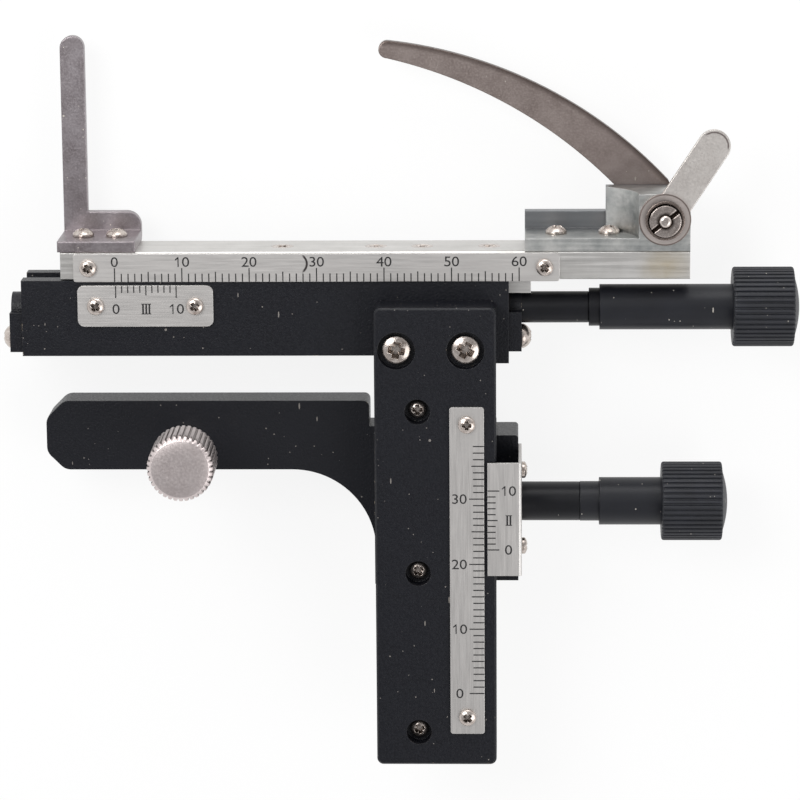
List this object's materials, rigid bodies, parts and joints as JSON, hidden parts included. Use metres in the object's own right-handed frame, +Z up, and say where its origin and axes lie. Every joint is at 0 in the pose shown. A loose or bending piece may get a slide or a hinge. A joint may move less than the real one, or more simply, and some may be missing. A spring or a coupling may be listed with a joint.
{
  "type": "microscope mechanical stage",
  "caption": "Attachable microscope stage: clamp arm, rack-driven column and screw-driven slide holder with fixed and sprung fingers and vernier scales.",
  "frame": {"origin": "on the clamp screw's axis, at the underside of the clamp arm, which rests on the microscope's stage plate", "axes": "+X along the slide holder towards the knobs, +Y from the clamp arm towards the slide, +Z up and away from the stage plate"},
  "size_m": [0.1193, 0.1084, 0.0296],
  "materials": {
    "black_painted_metal": "fine textured semi-gloss black paint",
    "black_lacquered_tube": "smooth black lacquer",
    "black_ribbed_plastic": "ribbed black plastic",
    "satin_scale_aluminium": "satin, black printed scale",
    "milled_aluminium": "milled",
    "brushed_steel_sheet": "brushed",
    "nickel_plated_steel": "bright nickel plate",
    "brass": "machined",
    "turned_steel": "turned",
    "nickel_screw": "nickel plate"
  },
  "bodies": {
    "base": {"base_bracket": "black_painted_metal", "locating_pins": "turned_steel", "y_vernier_plate": "satin_scale_aluminium", "y_vernier_screws": "nickel_screw", "y_bearing_tube": "black_lacquered_tube"},
    "clamp_washer_body": {"clamp_washer": "nickel_plated_steel"},
    "clamp_screw_body": {"clamp_screw": "nickel_plated_steel"},
    "y_carriage": {"column_plate": "black_painted_metal", "y_dovetail": "milled_aluminium", "y_rack": "brass", "rack_screws": "nickel_screw", "y_scale_plate": "satin_scale_aluminium", "y_scale_screws": "nickel_screw", "beam_screws": "nickel_screw", "x_beam": "black_painted_metal", "left_end_plate": "black_painted_metal", "right_end_plate": "black_painted_metal", "end_plate_screws": "nickel_screw", "x_vernier_plate": "satin_scale_aluminium", "x_vernier_screws": "nickel_screw", "x_bearing_tube": "black_lacquered_tube"},
    "y_drive": {"y_pinion": "brass", "y_shaft": "turned_steel", "y_shaft_collar": "black_lacquered_tube", "y_knob_sleeve": "black_lacquered_tube", "y_knob": "black_ribbed_plastic"},
    "x_carriage": {"holder_bar": "milled_aluminium", "x_guide_tongue": "milled_aluminium", "tongue_screws": "nickel_screw", "lead_nut": "brass", "x_scale_plate": "satin_scale_aluminium", "x_scale_screws": "nickel_screw", "fixed_finger": "brushed_steel_sheet", "fixed_finger_screws": "nickel_screw", "finger_bracket": "milled_aluminium", "bracket_screws": "nickel_screw", "torsion_spring": "turned_steel"},
    "x_drive": {"lead_screw": "turned_steel", "x_shaft_collar": "black_lacquered_tube", "x_knob_sleeve": "black_lacquered_tube", "x_knob": "black_ribbed_plastic"},
    "swinging_finger": {"pivot_pin": "nickel_plated_steel", "spring_finger": "brushed_steel_sheet", "finger_lever": "nickel_plated_steel", "cup_washer": "nickel_plated_steel", "slotted_nut": "nickel_plated_steel"}
  },
  "joints": [
    {"name": "clamp_lift", "type": "slide", "parent": "base", "child": "clamp_washer_body", "axis": [0, 0, 1], "range_m": [-0.0095, 0]},
    {"name": "clamp_turn", "type": "hinge", "parent": "clamp_washer_body", "child": "clamp_screw_body", "pos_m": [0, 0, 0], "axis": [0, 0, 1], "continuous": true},
    {"name": "y_slide", "type": "slide", "parent": "base", "child": "y_carriage", "axis": [0, 1, 0], "range_m": [-0.0064, 0.0223]},
    {"name": "y_knob_turn", "type": "hinge", "parent": "base", "child": "y_drive", "pos_m": [0.0372, -0.0095, 0.006], "axis": [1, 0, 0], "range_deg": [-430, 125]},
    {"name": "x_slide", "type": "slide", "parent": "y_carriage", "child": "x_carriage", "axis": [1, 0, 0], "range_m": [-0.06, 0]},
    {"name": "x_knob_turn", "type": "hinge", "parent": "y_carriage", "child": "x_drive", "pos_m": [0.0481, 0.0205, 0.0065], "axis": [1, 0, 0], "range_deg": [-1, 5401]},
    {"name": "finger_swing", "type": "hinge", "parent": "x_carriage", "child": "swinging_finger", "pos_m": [0.0711, 0.0346, 0.002], "axis": [0, 0, 1], "range_deg": [-60, 0], "stiffness_Nm_per_rad": 0.03, "springref_deg": 20.05}
  ],
  "couplings": [
    {"joint": "y_knob_turn", "follows": "y_slide", "rad_per_m": -333.33},
    {"joint": "x_knob_turn", "follows": "x_slide", "rad_per_m": -1570.8}
  ]
}
